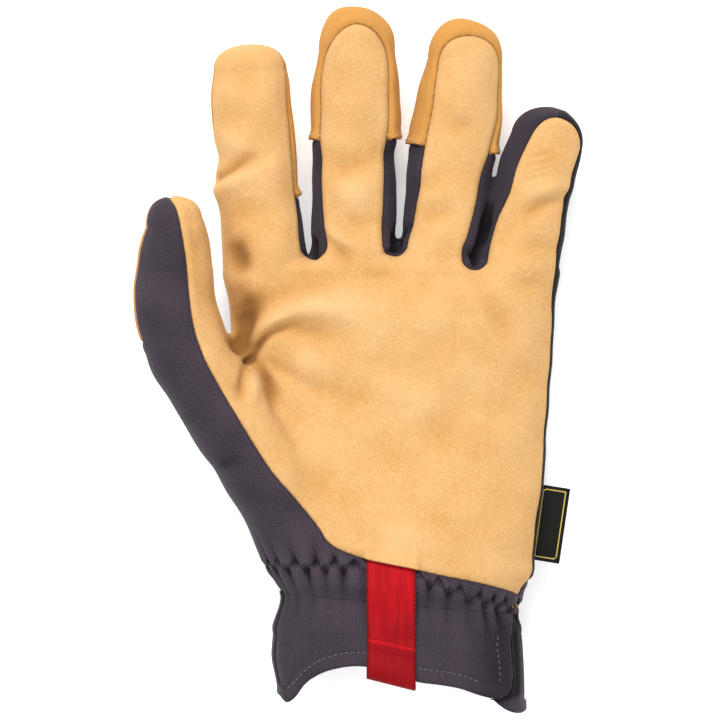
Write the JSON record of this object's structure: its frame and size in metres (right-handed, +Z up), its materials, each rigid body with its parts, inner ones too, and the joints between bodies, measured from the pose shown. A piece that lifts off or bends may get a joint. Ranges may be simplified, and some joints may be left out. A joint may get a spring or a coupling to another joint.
{
  "type": "mechanic glove",
  "caption": "Left-hand mechanic's work glove with suede palm, leather tip covers, stretch fabric sides, gathered wrist, flared cuff and webbing pull tab.",
  "frame": {"origin": "middle of the flat patch under the back of the hand, on which the glove rests", "axes": "+X from the thumb to the little finger, +Y from the cuff to the fingertips, +Z up out of the palm"},
  "size_m": [0.1528, 0.237, 0.0473],
  "materials": {
    "palm_suede": "napped suede, matte, tan",
    "tip_leather": "smooth suede side, orange tan",
    "stretch_fabric": "fine stretch knit, dark grey with a purple cast",
    "back_fabric": "stretch knit, near black",
    "webbing": "woven webbing with a selvedge, red",
    "tag_weave": "woven damask, near black with a plain border"
  },
  "bodies": {
    "root": {"palm_panel": "palm_suede", "index_tip_cover": "tip_leather", "middle_tip_cover": "tip_leather", "ring_tip_cover": "tip_leather", "thumb_guard": "tip_leather", "side_strip_index_middle": "stretch_fabric", "side_strip_middle_ring": "stretch_fabric", "side_strip_ring_little": "stretch_fabric", "thumb_panel": "stretch_fabric", "back_panel": "back_fabric", "cuff_palm": "stretch_fabric", "cuff_back": "stretch_fabric", "pull_tab": "webbing", "side_tag": "tag_weave"}
  },
  "joints": []
}
